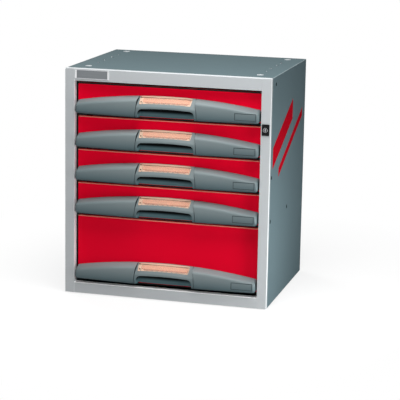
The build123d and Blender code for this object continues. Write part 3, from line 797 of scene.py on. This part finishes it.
def add_shade_strips(number):
    """Black strips of painted shade under a drawer's handle, and along the top edge of the top front."""
    drawer = f"drawer_{number}"
    low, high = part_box(f"{drawer}_front")
    tall, short = SHADE_STRIP_HEIGHTS
    strips = [
        (low.x, -SHADE_STRIP_SPLIT, low.z, tall),
        (-SHADE_STRIP_SPLIT, SHADE_STRIP_SPLIT, low.z, short),
        (SHADE_STRIP_SPLIT, high.x, low.z, tall),
    ]
    if number == 1:
        strips.append((low.x, high.x, high.z - TOP_SHADE_STRIP_HEIGHT, TOP_SHADE_STRIP_HEIGHT))
    form = bmesh.new()
    for left, right, foot, height in strips:
        add_block(form, (left, low.y - SHADE_STRIP_DEPTH, foot), (right, low.y, foot + height))
    piece = place_piece(form, f"{drawer}_shade_strips", drawer, shade_strip_black)
    soften(piece, SHADE_STRIP_EDGE)


def label_slope(drawer):
    """The middle of a label's sloping front, and the way it faces."""
    form = shape_of(f"{drawer}_label_card")
    face = foremost(form)
    middle = face.calc_center_median()
    out = face.normal.copy()
    form.free()
    form = shape_of(f"{drawer}_label_holder")
    reach = max(out.dot(corner.co) for corner in form.verts)
    form.free()
    return middle + out * (reach - out.dot(middle)), out


def add_label_end(number):
    """Cream end piece at the left of a label, with two small dark pins."""
    drawer = f"drawer_{number}"
    middle, out = label_slope(drawer)
    along = Vector((1, 0, 0))
    up = out.cross(along)
    turn = Matrix((along, up, out)).transposed().to_4x4()
    left, width, height, thickness = LABEL_END
    centre = middle - along * left - up * LABEL_END_DROP + out * LABEL_PROUD
    form = bmesh.new()
    corners = add_block(form, (-width / 2, -height / 2, -thickness), (width / 2, height / 2, 0))
    bmesh.ops.transform(form, matrix=Matrix.Translation(centre) @ turn, verts=corners)
    piece = place_piece(form, f"{drawer}_label_end", drawer, label_rim)
    soften(piece, LABEL_END_EDGE)
    form = bmesh.new()
    radius, proud = PIN
    for across, rise in PIN_SPOTS:
        place = Matrix.Translation(centre + along * across + up * rise + out * proud * PIN_RISE)
        bmesh.ops.create_cone(
            form,
            cap_ends=True,
            segments=PIN_SIDES,
            radius1=radius,
            radius2=radius * PIN_TAPER,
            depth=proud,
            matrix=place @ turn,
        )
    piece = place_piece(form, f"{drawer}_label_pins", drawer, black_plastic)
    soften(piece, FINE_EDGE)


def add_lock_face():
    """Bright ring and keyway on the dark face of the lock, with the keyway's slot black as painted shade."""
    low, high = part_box("lock_cylinder")
    centre = Vector(((low.x + high.x) / 2, low.y, (low.z + high.z) / 2))
    radius, width = LOCK_RING
    profile = [centre + Vector((radius + share * width, depth, 0)) for share, depth in RING_PROFILE]
    form = turned(profile, centre, (0, 1, 0), RING_STEPS)
    piece = place_piece(form, "lock_ring", "lock_cylinder", chrome)
    soften(piece, RING_EDGE)
    across, thickness, up = KEYWAY
    form = bmesh.new()
    add_block(form, centre - Vector((across, thickness, up)), centre + Vector((across, 0, up)))
    # The slot's field is black plastic as painted shade
    sink(form, [foremost(form)], *KEY_SLOT, field_finish=1)
    piece = place_piece(form, "lock_keyway", "lock_cylinder", chrome)
    piece.data.materials.append(black_plastic.material)
    soften(piece, FINE_EDGE)


for number in DRAWERS:
    add_shade_strips(number)
    add_label_end(number)
add_lock_face()


# Studio
def make_floor():
    """White floor that keeps the cabinet's soft shadow."""
    finish = Finish("white_floor", {"Roughness": 0.9})
    direct = finish.seen_by("Camera", "Glossy", "Transmission")
    finish.colour(finish.blend(direct, FLOOR_BOUNCE, FLOOR_WHITE))
    distance = finish.add("ShaderNodeVectorMath", {"operation": "LENGTH"}, {0: finish.place}, "Value")
    near = 1 - finish.rise(distance, SHADOW_CORE, SHADOW_REACH)
    share = direct * (1 - near * SHADOW_SHARE)
    own = Value(finish, finish.shader.outputs["BSDF"])
    white = finish.add("ShaderNodeEmission", {}, {"Color": (1, 1, 1, 1), "Strength": 1.0})
    mixed = finish.add("ShaderNodeMixShader", {}, {0: share, 1: own, 2: white})
    finish.fill(finish.tree.nodes["Material Output"].inputs["Surface"], mixed)
    form = bmesh.new()
    bmesh.ops.create_grid(form, x_segments=1, y_segments=1, size=FLOOR_REACH)
    floor = add_mesh(form, "studio_floor", finish)


def make_world():
    """White surroundings, which give the object less light than the camera sees."""
    world = bpy.data.worlds.new("studio")
    world.use_nodes = True
    bpy.context.scene.world = world
    nodes = Nodes(world.node_tree)
    background = world.node_tree.nodes["Background"]
    nodes.fill(background.inputs["Color"], (1, 1, 1, 1))
    level = nodes.seen_by("Camera", "Transmission") * (1 - WORLD_LEVEL) + WORLD_LEVEL
    nodes.fill(background.inputs["Strength"], level)


def add_lamp(name, place, aim, size, power):
    """A square soft box at a place that faces a point."""
    light = bpy.data.lights.new(name, "AREA")
    light.shape = "SQUARE"
    light.size = size
    light.energy = power
    lamp = bpy.data.objects.new(name, light)
    lamp.location = place
    lamp.rotation_euler = (Vector(aim) - Vector(place)).to_track_quat("-Z", "Y").to_euler()
    bpy.context.scene.collection.objects.link(lamp)


def add_camera():
    """The photograph's viewpoint."""
    lens = bpy.data.cameras.new("camera")
    lens.lens = LENS
    lens.sensor_width = SENSOR
    lens.clip_end = CAMERA_RANGE
    camera = bpy.data.objects.new("camera", lens)
    turn = Matrix.Rotation(CAMERA_AZIMUTH, 4, "Z") @ Matrix.Rotation(pi / 2 - CAMERA_ELEVATION, 4, "X")
    camera.matrix_world = Matrix.Translation(CAMERA_PLACE) @ turn @ Matrix.Rotation(CAMERA_ROLL, 4, "Z")
    bpy.context.scene.collection.objects.link(camera)
    bpy.context.scene.camera = camera


make_floor()
make_world()
for name, (place, aim, size, power) in LAMPS.items():
    add_lamp(name, place, aim, size, power)
add_camera()
bpy.context.scene.view_settings.view_transform = "Standard"
